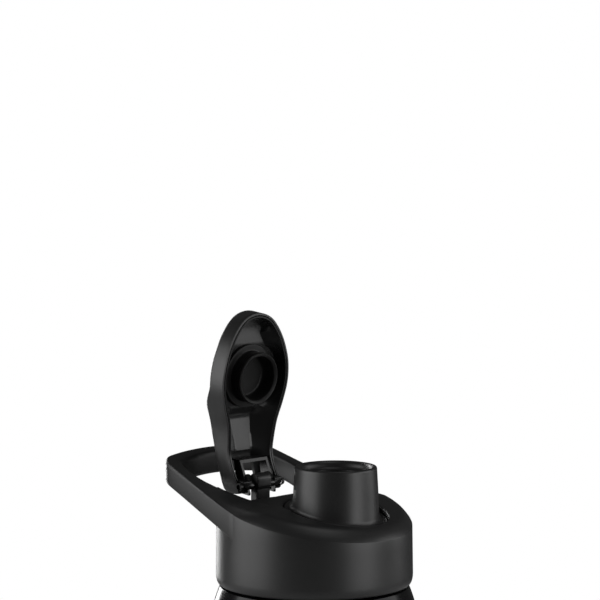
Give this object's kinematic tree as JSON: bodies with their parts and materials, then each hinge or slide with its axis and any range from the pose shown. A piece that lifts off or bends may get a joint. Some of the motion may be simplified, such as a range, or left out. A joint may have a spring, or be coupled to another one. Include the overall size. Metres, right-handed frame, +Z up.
{
  "type": "shaker bottle",
  "caption": "Drinking bottle with a screw lid, a side spout, a carry loop, a flip cap that stands open on its hinge and a loose wire mixing ball inside.",
  "frame": {"origin": "centre of the bottle's flat base, on the bottle's axis", "axes": "+Z up the bottle, +Y towards the carry loop, -Y towards the spout"},
  "size_m": [0.0832, 0.1028, 0.2777],
  "materials": {
    "vessel": "gloss, opaque black",
    "casing": "fine satin texture, black",
    "inner_plastic": "smooth satin, black",
    "silicone": "soft matt silicone, black",
    "steel": "drawn stainless wire"
  },
  "bodies": {
    "bottle": {"bottle_body": "vessel"},
    "gasket": {"lid_gasket": "silicone"},
    "lid": {"lid_shell": "casing", "lid_liner": "inner_plastic"},
    "flip": {"flip_cover": "casing", "flip_frame": "inner_plastic", "spout_plug": "silicone", "hinge_pin": "steel"},
    "ball": {"mixer_ball": "steel"}
  },
  "joints": [
    {"name": "lid_lift", "type": "slide", "parent": "bottle", "child": "gasket", "axis": [0, 0, 1], "range_m": [0, 0.00601]},
    {"name": "lid_turn", "type": "hinge", "parent": "gasket", "child": "lid", "pos_m": [0, 0, 0.172], "axis": [0, 0, 1], "range_deg": [0, 540]},
    {"name": "flip_hinge", "type": "hinge", "parent": "lid", "child": "flip", "pos_m": [0, 0.0303, 0.2078], "axis": [1, 0, 0], "range_deg": [0, 83.5]},
    {"name": "ball_rise", "type": "slide", "parent": "bottle", "child": "ball", "axis": [0, 0, 1], "range_m": [0, 0.138]}
  ],
  "couplings": [
    {"joint": "lid_lift", "follows": "lid_turn", "m_per_rad": 0.00063662}
  ]
}
